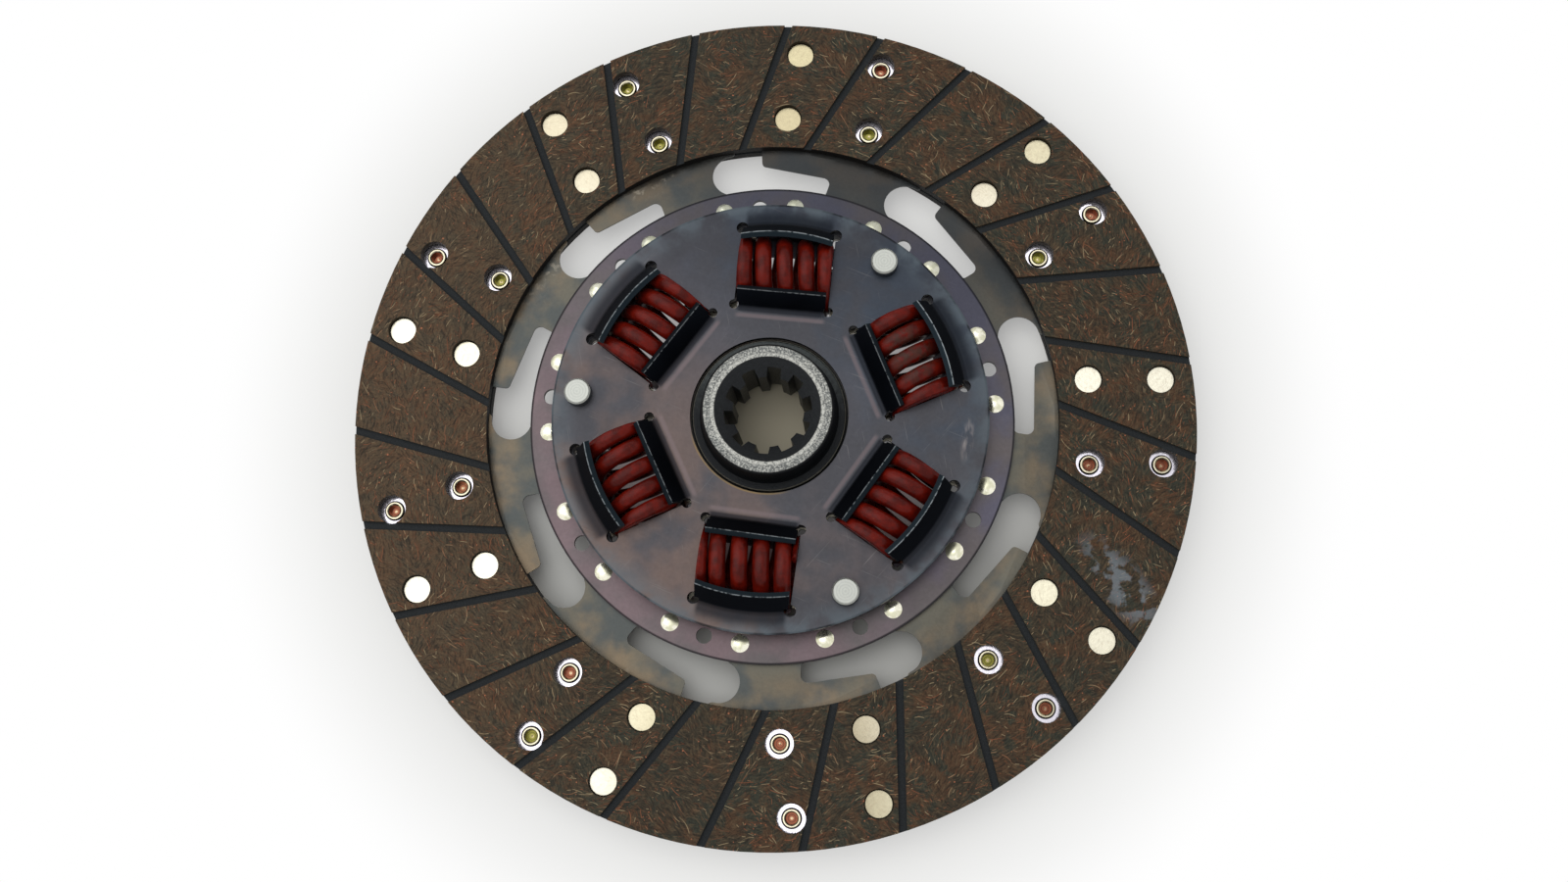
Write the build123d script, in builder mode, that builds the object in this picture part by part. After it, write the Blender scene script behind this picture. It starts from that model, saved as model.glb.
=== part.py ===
from build123d import *
from math import asin, cos, degrees, radians, sin, tan
import os

# Clutch disc with a sprung hub.  The axis of the hub is Z, the nose of the hub points along +Z, and z =
# 0 is the plane halfway between the two friction facings.  +X passes midway between the facing rivets
# of the first cushion segment.  All sizes are in millimetres and degrees.

# Friction facings
facing_outer_radius = 139.7
facing_inner_radius = 95.25
facing_thickness = 3.5
groove_count = 27
groove_width = 2.6
groove_depth = 1.2
groove_offset = 40.5  # how far each straight groove passes from the axis
groove_angle = 81.45  # direction of the first groove's nearest point to the axis
groove_overrun = 4.0

# Cushion segments, thin spring steel, one riveted foot and one waved petal each
segment_count = 9
segment_thickness = 0.9
petal_wave = 0.35  # how far each wave stands off the middle plane
petal_outer_radius = 138.0
petal_start = -21.6
petal_end = 12.8
foot_inner_radius = 70.4
foot_depth = 8.2
foot_start = -20.9
foot_end = 8.5
waist_rise = 2.4  # the waist lies this far outside the corners of the foot
waist_start = -18.9
waist_end = -2.4
stem_height = 6.2
stem_start = -15.9
stem_end = -2.85
petal_rise = 2.7  # the petal's inner edge lies this far outside the top of the stem
shoulder_rise = 7.0
segment_corner_fillet = 1.5
slot_end_fillet = 2.4
wave_edges = (-30.0, -24.0, -5.0, 5.0)  # where the petal changes from one level to the other
run_in_before = 3.2  # the flat stem becomes the waved petal from here before the stem's top to there after it
run_in_after = 6.8

# Facing rivets, tubular, headed in their own facing and clinched behind the petal
facing_rivet_rows = (104.9, 128.6)
facing_rivet_half_spacing = 14.1
facing_rivet_head_radius = 4.6
facing_rivet_head_thickness = 0.6
facing_rivet_recess = 1.8
facing_rivet_radius = 2.4
facing_rivet_bore_radius = 1.9
facing_rivet_floor = 0.4  # solid metal left under the head's seat
clinch_radius = 3.15
clinch_height = 0.9
rivet_hole_clearance = 0.05
head_hole_clearance = 0.15
clinch_hole_radius = 4.7

# Pressed plates on the two sides of the hub flange
plate_thickness = 2.0
plate_spacing = 7.85
plate_bore_radius = 26.0
drive_rim_margin = 2.1  # how far the rim of the drive plate covers the corners of the feet
cover_plate_radius = 71.75

# Rivets between the drive plate and the cushion segments, and the holes between the feet
plate_rivet_inset = 4.0  # from the inner edge of the foot
plate_rivet_angles = (-16.9, 4.5)
plate_rivet_head_radius = 2.95
plate_rivet_head_height = 1.1
plate_rivet_radius = 2.0
vent_hole_angle = 13.8
vent_hole_radius = 2.6

# Stop pins
pin_count = 3
pin_angle = 53.7
pin_circle = 63.3
pin_shoulder_radius = 5.5
pin_end_radius = 4.35
pin_front_height = 4.0
pin_rear_height = 3.0
pin_chamfer = 0.5

# Spring windows
window_offset = 31.0  # angle between a stop pin and the windows beside it
window_width = 31.4
spring_circle = 49.6
spring_outer_radius = 12.3
spring_wire_radius = 2.75
spring_end_clearance = 0.15
spring_active_turns = 3.2
spring_coil_gap = 0.05
spring_rolls = (159, 149, 184, 159, 268, 159)  # how far each spring has turned about its own length
spring_tip_share = 0.25  # ground tip thickness as a share of the wire's diameter

# Pressed lips that hold the springs
outer_bend_from_axis = 66.0
outer_lip_lean = 58.0
outer_lip_height = 7.1
outer_lip_half_width = 15.2
inner_bend_from_axis = 34.6
inner_lip_lean = 51.0
inner_lip_height = 5.7
inner_lip_half_width = 14.7
lip_bend_radius = 1.8
lip_root = 1.0
outer_relief_radius = 2.0
outer_relief_inset = 1.5
inner_relief_radius = 1.6
inner_relief_inset = 1.6
relief_rise = 1.6

# Hub
hub_front = 21.8
hub_rear = -8.0
hub_nose_radius = 21.3
hub_neck_radius = 22.8
hub_nose_chamfer = 0.6
hub_collar_radius = 25.2
hub_collar_fillet = 0.8
hub_collar_drop = 0.4  # how far the collar stays below the plate's outer face
flange_radius = 67.0
flange_thickness = 4.4
flange_window_clearance = 0.6
flange_rim_web = 2.2
flange_relief_radius = 2.4
flange_relief_inset = 1.4
hub_turn_limit = 5.0
pin_stop_clearance = 0.3
notch_overrun = 4.0

# Ten straight splines for a 1-1/8 inch shaft
spline_count = 10
spline_angle = 10.2
spline_major_radius = 14.35
spline_minor_radius = 11.6
spline_space_width = 4.55
bore_mouth_radius = 17.3
bore_mouth_half_angle = 50.0

# Friction washers
washer_inner_radius = 25.8
washer_outer_radius = 33.8
washer_running_clearance = 0.05
front_friction_thickness = 0.95
spring_washer_thickness = 0.5
spring_washer_margin = 1.0

# Levels along the axis
facing_back = segment_thickness / 2 + petal_wave
facing_front = facing_back + facing_thickness
drive_rear = segment_thickness / 2
drive_front = drive_rear + plate_thickness
cover_rear = drive_front + plate_spacing
cover_front = cover_rear + plate_thickness
middle = (drive_front + cover_rear) / 2
flange_rear = middle - flange_thickness / 2
flange_front = middle + flange_thickness / 2

# Distances from the axis that follow from the foot of a segment
foot_corner_radius = foot_inner_radius + foot_depth
waist_radius = foot_corner_radius + waist_rise
stem_top_radius = waist_radius + stem_height
petal_inner_radius = stem_top_radius + petal_rise
shoulder_radius = stem_top_radius + shoulder_rise
wave_run_in = (stem_top_radius - run_in_before, stem_top_radius + run_in_after)
plate_rivet_circle = foot_inner_radius + plate_rivet_inset
drive_plate_radius = foot_corner_radius + drive_rim_margin

segment_pitch = 360 / segment_count
window_angles = [
    pin_angle + 360 / pin_count * pin + side * window_offset for pin in range(pin_count) for side in (-1, 1)
]
window_turns = [Location((0, 0, 0), (0, 0, angle)) for angle in window_angles]
own_rivet_places = [(row, facing_rivet_half_spacing) for row in facing_rivet_rows]
other_rivet_places = [(row, -facing_rivet_half_spacing) for row in facing_rivet_rows]

os.makedirs("parts", exist_ok=True)


def save(part, name):
    """Label a finished piece and write it to its own file."""
    part.label = name
    export_step(part, f"parts/{name}.step")


def polar(radius, angle):
    """Point at a distance from the axis and an angle from +X."""
    return (radius * cos(radians(angle)), radius * sin(radians(angle)))


# Front facing: a moulded ring with slanting straight grooves.  Nine pairs of holes are counterbored for
# its own rivets, and nine pairs are open all the way for the clinched ends of the other facing's
# rivets.
groove_start = (facing_inner_radius**2 - groove_offset**2) ** 0.5 - groove_overrun
groove_end = (facing_outer_radius**2 - groove_offset**2) ** 0.5 + groove_overrun
with BuildPart() as front_facing:
    with BuildSketch(Plane.XY.offset(facing_back)):
        Circle(facing_outer_radius)
        Circle(facing_inner_radius, mode=Mode.SUBTRACT)
    extrude(amount=facing_thickness)
    with BuildSketch(Plane.XY.offset(facing_front)):
        with PolarLocations(groove_offset, groove_count, start_angle=groove_angle):
            with Locations((0, -(groove_start + groove_end) / 2)):
                Rectangle(groove_width, groove_end - groove_start)
    extrude(amount=-groove_depth, mode=Mode.SUBTRACT)
    with Locations(Plane.XY.offset(facing_front)):
        with PolarLocations(0, segment_count):
            with Locations(*own_rivet_places):
                CounterBoreHole(
                    facing_rivet_radius + rivet_hole_clearance,
                    facing_rivet_head_radius + head_hole_clearance,
                    facing_rivet_recess + facing_rivet_head_thickness,
                )
            with Locations(*other_rivet_places):
                Hole(clinch_hole_radius)
save(front_facing.part, "front_facing")

# The rear facing is the same moulding turned over about +X, so its rivets fall beside those of the
# front facing.
with BuildPart() as rear_facing:
    add(front_facing.part.rotate(Axis.X, 180))
save(rear_facing.part, "rear_facing")

# Facing rivet, with its wide flat head in the facing and its tubular end rolled outwards behind the petal.
head_seat = facing_front - facing_rivet_recess - facing_rivet_head_thickness
head_top = facing_front - facing_rivet_recess
clinch_seat = petal_wave - segment_thickness / 2
clinch_end = clinch_seat - clinch_height
bore_floor = head_seat - facing_rivet_floor
roll_edge = clinch_radius - clinch_height / 2
with BuildPart() as facing_rivet:
    with BuildSketch(Plane.XZ):
        with BuildLine():
            Polyline(
                (0, bore_floor),
                (0, head_top),
                (facing_rivet_head_radius - facing_rivet_head_thickness / 2, head_top),
                (facing_rivet_head_radius, head_top - facing_rivet_head_thickness / 2),
                (facing_rivet_head_radius, head_seat),
                (facing_rivet_radius, head_seat),
                (facing_rivet_radius, clinch_seat),
                (roll_edge, clinch_seat),
            )
            ThreePointArc(
                (roll_edge, clinch_seat),
                (clinch_radius, (clinch_seat + clinch_end) / 2),
                (roll_edge, clinch_end),
            )
            Polyline(
                (roll_edge, clinch_end),
                (facing_rivet_radius, clinch_end),
                (facing_rivet_bore_radius, clinch_end + clinch_height / 2),
                (facing_rivet_bore_radius, bore_floor),
                (0, bore_floor),
            )
        make_face()
    revolve(axis=Axis.Z)

with BuildPart() as front_facing_rivets:
    with PolarLocations(0, segment_count):
        with Locations(*own_rivet_places):
            add(facing_rivet.part)
save(front_facing_rivets.part, "front_facing_rivets")

with BuildPart() as rear_facing_rivets:
    add(front_facing_rivets.part.rotate(Axis.X, 180))
save(rear_facing_rivets.part, "rear_facing_rivets")

# Cushion segment: the flat foot lies behind the rim of the drive plate, and the petal between the
# facings is waved, so that it touches the front facing and the rear facing by turns.
wave_levels = (petal_wave, -petal_wave, -petal_wave, petal_wave)
wave_far = petal_outer_radius * sin(radians(-petal_start)) + groove_overrun


def band(plane, levels):
    """Section across the sheet: a strip of the sheet's thickness that follows the given levels."""
    stations = (-wave_far, *wave_edges, wave_far)
    heights = (levels[0], *levels, levels[-1])
    top = [(y, z + segment_thickness / 2) for y, z in zip(stations, heights)]
    bottom = [(y, z - segment_thickness / 2) for y, z in zip(stations, heights)]
    with BuildSketch(plane) as section:
        with BuildLine():
            Polyline(*top, *reversed(bottom), close=True)
        make_face()
    return section.sketch


def across(distance):
    """Plane across the segment at a distance from the axis, with its own X along the sheet."""
    return Plane(origin=(distance, 0, 0), x_dir=(0, 1, 0), z_dir=(1, 0, 0))


with BuildPart() as sheet:
    extrude(band(across(foot_inner_radius - groove_overrun * 2), (0, 0, 0, 0)),
            amount=wave_run_in[0] - foot_inner_radius + groove_overrun * 2)
    loft([band(across(wave_run_in[0]), (0, 0, 0, 0)), band(across(wave_run_in[1]), wave_levels)], ruled=True)
    extrude(band(across(wave_run_in[1]), wave_levels), amount=petal_outer_radius - wave_run_in[1])

with BuildPart() as cushion_segment:
    with BuildSketch(Plane.XY.offset(-segment_thickness)) as outline:
        with BuildLine():
            CenterArc((0, 0), petal_outer_radius, petal_start, petal_end - petal_start)
            Polyline(
                polar(petal_outer_radius, petal_end),
                polar(petal_inner_radius, petal_end),
                polar(stem_top_radius, stem_end),
                polar(waist_radius, waist_end),
                polar(foot_corner_radius, foot_end),
                polar(foot_inner_radius, foot_end),
                polar(foot_inner_radius, foot_start),
                polar(foot_corner_radius, foot_start),
                polar(waist_radius, waist_start),
            )
            ThreePointArc(
                polar(waist_radius, waist_start),
                polar(stem_top_radius, stem_start),
                polar(shoulder_radius, petal_start),
            )
            Line(polar(shoulder_radius, petal_start), polar(petal_outer_radius, petal_start))
        make_face()
        slot_end = outline.vertices().sort_by_distance(polar(stem_top_radius, stem_end))[0]
        fillet(slot_end, slot_end_fillet)
        corners = outline.vertices().sort_by_distance(polar(stem_top_radius, stem_end))[2:]
        fillet(corners, segment_corner_fillet)
    extrude(amount=2 * segment_thickness)
    add(sheet.part, mode=Mode.INTERSECT)
    with Locations(*own_rivet_places, *other_rivet_places):
        Hole(facing_rivet_radius + rivet_hole_clearance)
    with Locations(*[polar(plate_rivet_circle, angle) for angle in plate_rivet_angles]):
        Hole(plate_rivet_radius + rivet_hole_clearance)

for number in range(segment_count):
    save(cushion_segment.part.rotate(Axis.Z, number * segment_pitch), f"cushion_segment_{number + 1}")

# Plate rivets: a low round head on the drive plate and an upset head behind the foot of the segment.
plate_rivet_top = drive_front + plate_rivet_head_height
plate_rivet_bottom = -segment_thickness / 2 - plate_rivet_head_height
dome_radius = (plate_rivet_head_radius**2 + plate_rivet_head_height**2) / (2 * plate_rivet_head_height)
with BuildPart() as plate_rivet:
    with BuildSketch(Plane.XZ):
        with BuildLine():
            Line((0, plate_rivet_bottom), (0, plate_rivet_top))
            RadiusArc((0, plate_rivet_top), (plate_rivet_head_radius, drive_front), dome_radius)
            Polyline(
                (plate_rivet_head_radius, drive_front),
                (plate_rivet_radius, drive_front),
                (plate_rivet_radius, -segment_thickness / 2),
                (plate_rivet_head_radius, -segment_thickness / 2),
            )
            RadiusArc((plate_rivet_head_radius, -segment_thickness / 2), (0, plate_rivet_bottom), dome_radius)
        make_face()
    revolve(axis=Axis.Z)

with BuildPart() as plate_rivets:
    with PolarLocations(0, segment_count):
        with Locations(*[polar(plate_rivet_circle, angle) for angle in plate_rivet_angles]):
            add(plate_rivet.part)
save(plate_rivets.part, "plate_rivets")


def lip_section(start, toward, lean, height):
    """Section of a pressed lip: flat root, bend and leaning straight, rising from the cover plate's face."""
    inner = lip_bend_radius
    outer = lip_bend_radius + plate_thickness
    centre = (start, cover_front + lip_bend_radius)
    across_lip = (sin(radians(lean)), cos(radians(lean)))
    straight = (height - inner * (1 - across_lip[1])) / sin(radians(lean))
    half = radians(lean / 2)

    def on_bend(radius, angle):
        return (centre[0] + toward * radius * sin(angle), centre[1] - radius * cos(angle))

    top_end = on_bend(inner, radians(lean))
    bottom_end = on_bend(outer, radians(lean))
    run = (toward * straight * cos(radians(lean)), straight * sin(radians(lean)))
    root = start - toward * lip_root
    with BuildSketch(Plane.XZ) as section:
        with BuildLine():
            Line((root, cover_front), on_bend(inner, 0))
            ThreePointArc(on_bend(inner, 0), on_bend(inner, half), top_end)
            Polyline(
                top_end,
                (top_end[0] + run[0], top_end[1] + run[1]),
                (bottom_end[0] + run[0], bottom_end[1] + run[1]),
                bottom_end,
            )
            ThreePointArc(bottom_end, on_bend(outer, half), on_bend(outer, 0))
            Polyline(on_bend(outer, 0), (root, cover_rear), (root, cover_front))
        make_face()
    return section.sketch


# Lips of one window.  The outer one is bent along an arc about the hub's axis, and the inner one is
# straight.
with BuildPart() as outer_lip:
    revolve(lip_section(outer_bend_from_axis, -1, outer_lip_lean, outer_lip_height), axis=Axis.Z)
    with Locations((spring_circle, 0, cover_rear)):
        Box(
            2 * spring_circle,
            2 * outer_lip_half_width,
            2 * spring_circle,
            align=(Align.CENTER, Align.CENTER, Align.CENTER),
            mode=Mode.INTERSECT,
        )

with BuildPart() as inner_lip:
    extrude(
        lip_section(inner_bend_from_axis, 1, inner_lip_lean, inner_lip_height),
        amount=inner_lip_half_width,
        both=True,
    )


def pressed_plate(radius):
    """Cover-side plate of a given rim radius, with six windows, their lips and their corner relief holes."""
    with BuildPart() as plate:
        with BuildSketch(Plane.XY.offset(cover_rear)):
            Circle(radius)
            Circle(plate_bore_radius, mode=Mode.SUBTRACT)
        extrude(amount=plate_thickness)
        with BuildSketch(Plane.XY.offset(cover_rear)) as windows:
            with Locations(*window_turns):
                with Locations((inner_bend_from_axis, 0)):
                    Rectangle(spring_circle, window_width, align=(Align.MIN, Align.CENTER))
            Circle(outer_bend_from_axis, mode=Mode.INTERSECT)
        extrude(amount=plate_thickness, mode=Mode.SUBTRACT)
        with Locations(*window_turns):
            add(outer_lip.part)
            add(inner_lip.part)
        with BuildSketch(Plane.XY.offset(cover_rear)):
            with Locations(*window_turns):
                for side in (-1, 1):
                    edge = side * window_width / 2
                    outer_distance = ((outer_bend_from_axis - outer_relief_inset) ** 2 - edge**2) ** 0.5
                    with Locations((outer_distance, edge)):
                        Circle(outer_relief_radius)
                    with Locations((inner_bend_from_axis + inner_relief_inset, edge)):
                        Circle(inner_relief_radius)
        extrude(amount=plate_thickness + relief_rise, mode=Mode.SUBTRACT)
        with Locations(Plane.XY.offset(cover_front)):
            with PolarLocations(pin_circle, pin_count, start_angle=pin_angle):
                Hole(pin_end_radius + rivet_hole_clearance)
    return plate.part


# Cover plate, towards the nose of the hub.
save(pressed_plate(cover_plate_radius), "cover_plate")

# Drive plate: the same windows mirrored about the middle of the hub flange, on a wider rim that carries the
# cushion segments.
with BuildPart() as drive_plate:
    add(pressed_plate(drive_plate_radius).mirror(Plane.XY.offset(middle)))
    with Locations(Plane.XY.offset(drive_front)):
        with PolarLocations(0, segment_count):
            with Locations(*[polar(plate_rivet_circle, angle) for angle in plate_rivet_angles]):
                Hole(plate_rivet_radius + rivet_hole_clearance)
            with Locations(polar(plate_rivet_circle, vent_hole_angle)):
                Hole(vent_hole_radius)
save(drive_plate.part, "drive_plate")

# Stop pins: a shoulder holds the two plates apart, and the ends are upset outside them.
with BuildPart() as stop_pin:
    with BuildSketch(Plane.XY.offset(drive_rear - pin_rear_height)):
        Circle(pin_end_radius)
    extrude(amount=cover_front + pin_front_height - drive_rear + pin_rear_height)
    chamfer(stop_pin.edges().filter_by(GeomType.CIRCLE), pin_chamfer)
    with BuildSketch(Plane.XY.offset(drive_front)):
        Circle(pin_shoulder_radius)
    extrude(amount=plate_spacing)

for number in range(pin_count):
    placed = Location((0, 0, 0), (0, 0, pin_angle + number * 360 / pin_count)) * Location((pin_circle, 0, 0))
    save(placed * stop_pin.part, f"stop_pin_{number + 1}")

# Damper spring, wound right-handed about its own Z and centred on the origin.  Its first and last turns
# lie coil against coil, and flat cuts at the ends leave thin ground tips.
wire = 2 * spring_wire_radius
spring_length = window_width - 2 * spring_end_clearance
coil_radius = spring_outer_radius - spring_wire_radius
end_pitch = wire + spring_coil_gap
end_height = spring_length / 2 + spring_wire_radius - spring_tip_share * wire
active_height = 2 * (end_height - end_pitch)
active_pitch = active_height / spring_active_turns
with BuildPart() as spring_on_end:
    with BuildLine() as coil:
        Helix(end_pitch, end_pitch, coil_radius, center=(0, 0, -end_height))
        Helix(active_pitch, active_height, coil_radius, center=(0, 0, end_pitch - end_height))
        add(Helix(end_pitch, end_pitch, coil_radius, center=(0, 0, end_height - end_pitch),
                  mode=Mode.PRIVATE).rotate(Axis.Z, 360 * spring_active_turns))
    with BuildSketch(Plane(origin=coil.line @ 0, z_dir=coil.line % 0)):
        Circle(spring_wire_radius)
    sweep(path=coil.line, is_frenet=True)
    Box(4 * spring_outer_radius, 4 * spring_outer_radius, spring_length, mode=Mode.INTERSECT)

# Each spring lies along the tangent at the middle of its window.
lying = Plane(origin=(spring_circle, 0, middle), x_dir=(0, 0, 1), z_dir=(0, 1, 0)).location
for number, window_turn in enumerate(window_turns):
    rolled = spring_on_end.part.rotate(Axis.Z, spring_rolls[number])
    save(window_turn * lying * rolled, f"damper_spring_{number + 1}")

# Hub: splined barrel, collars that run in the bores of the plates, and a flange with windows for the
# springs and open notches in its rim for the stop pins.
collar_front = cover_front - hub_collar_drop
collar_rear = drive_rear + hub_collar_drop
mouth_depth = (bore_mouth_radius - spline_minor_radius) / tan(radians(bore_mouth_half_angle))
window_inner = spring_circle - spring_outer_radius - flange_window_clearance
window_outer = flange_radius - flange_rim_web
pin_half_angle = degrees(asin((pin_shoulder_radius + pin_stop_clearance) / pin_circle))
notch_floor = pin_circle - pin_shoulder_radius - pin_stop_clearance
notch_half_angle = hub_turn_limit + pin_half_angle
with BuildPart() as hub:
    with BuildSketch(Plane.XZ) as half_section:
        with BuildLine():
            Polyline(
                (0, hub_rear),
                (hub_nose_radius, hub_rear),
                (hub_neck_radius, collar_rear),
                (hub_collar_radius, collar_rear),
                (hub_collar_radius, flange_rear),
                (flange_radius, flange_rear),
                (flange_radius, flange_front),
                (hub_collar_radius, flange_front),
                (hub_collar_radius, collar_front),
                (hub_neck_radius, collar_front),
                (hub_nose_radius, hub_front),
                (0, hub_front),
                close=True,
            )
        make_face()
        for level in (hub_front, hub_rear):
            nose_corner = half_section.vertices().sort_by_distance((hub_nose_radius, level))[0]
            chamfer(nose_corner, hub_nose_chamfer)
        for level in (collar_front, collar_rear):
            collar_corner = half_section.vertices().sort_by_distance((hub_collar_radius, level))[0]
            fillet(collar_corner, hub_collar_fillet)
    revolve(axis=Axis.Z)
    with BuildSketch(Plane.XY.offset(flange_rear)):
        with Locations(*window_turns):
            with Locations((window_inner, 0)):
                Rectangle(spring_circle, window_width, align=(Align.MIN, Align.CENTER))
        Circle(window_outer, mode=Mode.INTERSECT)
    extrude(amount=flange_thickness, mode=Mode.SUBTRACT)
    with BuildSketch(Plane.XY.offset(flange_rear)):
        with Locations(*window_turns):
            for side in (-1, 1):
                edge = side * window_width / 2
                with Locations((((window_outer - flange_relief_inset) ** 2 - edge**2) ** 0.5, edge)):
                    Circle(flange_relief_radius)
                with Locations((window_inner, edge)):
                    Circle(flange_relief_radius)
    extrude(amount=flange_thickness, mode=Mode.SUBTRACT)
    with BuildSketch(Plane.XY.offset(flange_rear)):
        for number in range(pin_count):
            centre = pin_angle + number * 360 / pin_count
            with BuildLine():
                start, end = centre - notch_half_angle, centre + notch_half_angle
                CenterArc((0, 0), notch_floor, start, end - start)
                Polyline(
                    polar(notch_floor, end),
                    polar(flange_radius + notch_overrun, end),
                    polar(flange_radius + notch_overrun, start),
                    polar(notch_floor, start),
                )
            make_face()
    extrude(amount=flange_thickness, mode=Mode.SUBTRACT)
    with BuildSketch(Plane.XY.offset(hub_rear)):
        with PolarLocations(0, spline_count, start_angle=spline_angle):
            Rectangle(spline_major_radius, spline_space_width, align=(Align.MIN, Align.CENTER))
        Circle(spline_major_radius, mode=Mode.INTERSECT)
        Circle(spline_minor_radius)
    extrude(amount=hub_front - hub_rear, mode=Mode.SUBTRACT)
    with BuildSketch(Plane.XZ):
        for level, inward in ((hub_front, -1), (hub_rear, 1)):
            with BuildLine():
                Polyline(
                    (0, level),
                    (bore_mouth_radius, level),
                    (spline_minor_radius, level + inward * mouth_depth),
                    (0, level + inward * mouth_depth),
                    close=True,
                )
            make_face()
    revolve(axis=Axis.Z, mode=Mode.SUBTRACT)
save(hub.part, "hub")


def ring(level, thickness, inner_radius, outer_radius):
    """Flat ring about the hub's axis."""
    with BuildPart() as flat:
        with BuildSketch(Plane.XY.offset(level)):
            Circle(outer_radius)
            Circle(inner_radius, mode=Mode.SUBTRACT)
        extrude(amount=thickness)
    return flat.part


# Friction washers on both sides of the flange, and the coned spring washer that presses them together.
rear_friction_thickness = flange_rear - washer_running_clearance - drive_front
front_friction_level = flange_front + washer_running_clearance
rear_washer = ring(drive_front, rear_friction_thickness, washer_inner_radius, washer_outer_radius)
save(rear_washer, "rear_friction_washer")
save(ring(front_friction_level, front_friction_thickness, washer_inner_radius, washer_outer_radius),
     "front_friction_washer")

cone_rear = front_friction_level + front_friction_thickness
cone_inner = washer_inner_radius + spring_washer_margin
cone_outer = washer_outer_radius - spring_washer_margin
with BuildPart() as spring_washer:
    with BuildSketch(Plane.XZ):
        with BuildLine():
            Polyline(
                (cone_inner, cone_rear),
                (cone_outer, cover_rear - spring_washer_thickness),
                (cone_outer, cover_rear),
                (cone_inner, cone_rear + spring_washer_thickness),
                close=True,
            )
        make_face()
    revolve(axis=Axis.Z)
save(spring_washer.part, "spring_washer")
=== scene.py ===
import math

import bpy
import numpy as np
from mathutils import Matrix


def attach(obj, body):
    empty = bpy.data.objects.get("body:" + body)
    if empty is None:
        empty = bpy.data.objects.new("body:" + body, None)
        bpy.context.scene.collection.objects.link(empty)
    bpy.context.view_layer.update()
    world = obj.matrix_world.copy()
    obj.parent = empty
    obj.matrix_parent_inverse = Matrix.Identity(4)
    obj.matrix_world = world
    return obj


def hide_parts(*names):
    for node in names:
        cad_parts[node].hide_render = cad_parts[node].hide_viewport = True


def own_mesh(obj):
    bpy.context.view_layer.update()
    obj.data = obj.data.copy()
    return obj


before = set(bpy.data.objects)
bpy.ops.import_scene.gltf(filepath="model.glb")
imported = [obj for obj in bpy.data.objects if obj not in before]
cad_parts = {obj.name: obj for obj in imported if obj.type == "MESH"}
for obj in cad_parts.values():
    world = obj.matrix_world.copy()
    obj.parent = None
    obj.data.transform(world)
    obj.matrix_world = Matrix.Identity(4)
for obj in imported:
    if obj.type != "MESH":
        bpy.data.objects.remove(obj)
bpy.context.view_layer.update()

# two circles of rivets through the facings, each rivet this far to the side of its segment's middle
facingRows = {"circles": (104.9, 128.6), "side": 14.1}
farAway = 1e6  # past any piece


# small helpers for shader nodes, which work in millimetres
def tone(red, green, blue):
    # screen value s to light: ((s / 255 + 0.055) / 1.055) to the power 2.4, or s / 255 / 12.92 near black
    shown = np.array([red, green, blue]) / 255
    light = np.where(shown > 0.04, ((shown + 0.055) / 1.055) ** 2.4, shown / 12.92)
    return (*light.tolist(), 1.0)


def feed(tree, socket, value):
    # a socket takes another node's output or a plain value
    if isinstance(value, bpy.types.NodeSocket):
        tree.links.new(value, socket)
    else:
        socket.default_value = value


def put(tree, kind, settings, inputs):
    node = tree.nodes.new("ShaderNode" + kind)
    for name, value in settings.items():
        setattr(node, name, value)
    for name, value in inputs.items():
        feed(tree, node.inputs[name], value)
    return node


def calc(tree, operation, *values):
    return put(tree, "Math", {"operation": operation}, dict(enumerate(values))).outputs[0]


def calcVector(tree, operation, *values):
    return put(tree, "VectorMath", {"operation": operation}, dict(enumerate(values))).outputs[0]


def scaled(tree, vector, factor):
    return put(tree, "VectorMath", {"operation": "SCALE"}, {0: vector, "Scale": factor}).outputs[0]


def lengthOf(tree, vector):
    return put(tree, "VectorMath", {"operation": "LENGTH"}, {0: vector}).outputs["Value"]


def turned(tree, vector, angle):
    # turned about z by an angle in radians
    inputs = {"Vector": vector, "Angle": angle}
    return put(tree, "VectorRotate", {"rotation_type": "Z_AXIS"}, inputs).outputs[0]


def parts(tree, vector):
    return put(tree, "SeparateXYZ", {}, {0: vector}).outputs


def joined(tree, x, y, z):
    return put(tree, "CombineXYZ", {}, {0: x, 1: y, 2: z}).outputs[0]


def rise(tree, value, low, high):
    # 0 up to low and 1 from high, with 3t^2 - 2t^3 between; it falls where low is the larger
    inputs = {"Value": value, "From Min": low, "From Max": high}
    return put(tree, "MapRange", {"interpolation_type": "SMOOTHSTEP"}, inputs).outputs[0]


def noise(tree, place, size, detail=2.0):
    inputs = {"Vector": place, "Scale": 1 / size, "Detail": detail, "Roughness": 0.55}
    return put(tree, "TexNoise", {}, inputs).outputs[0]


def times(tree, *factors):
    product = factors[0]
    for factor in factors[1:]:
        product = calc(tree, "MULTIPLY", product, factor)
    return product


def lifted(tree, value, base, spread):
    # base + spread value
    return calc(tree, "ADD", base, times(tree, value, spread))


def centred(tree, value, spread):
    # spread (value - 0.5)
    return times(tree, calc(tree, "SUBTRACT", value, 0.5), spread)


def mixValue(tree, share, first, second):
    return put(tree, "Mix", {"data_type": "FLOAT"}, {0: share, 2: first, 3: second}).outputs[0]


def mixTone(tree, share, first, second, blend="MIX"):
    settings = {"data_type": "RGBA", "blend_type": blend}
    return put(tree, "Mix", settings, {0: share, 6: first, 7: second}).outputs[2]


def tint(tree, colour, mask, added, share):
    # where the mask is 1, the colour goes this share of the way to the added one
    return mixTone(tree, times(tree, mask, share), colour, added)


def shadeBy(tree, colour, shade):
    return mixTone(tree, 1.0, colour, shade, "MULTIPLY")


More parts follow.
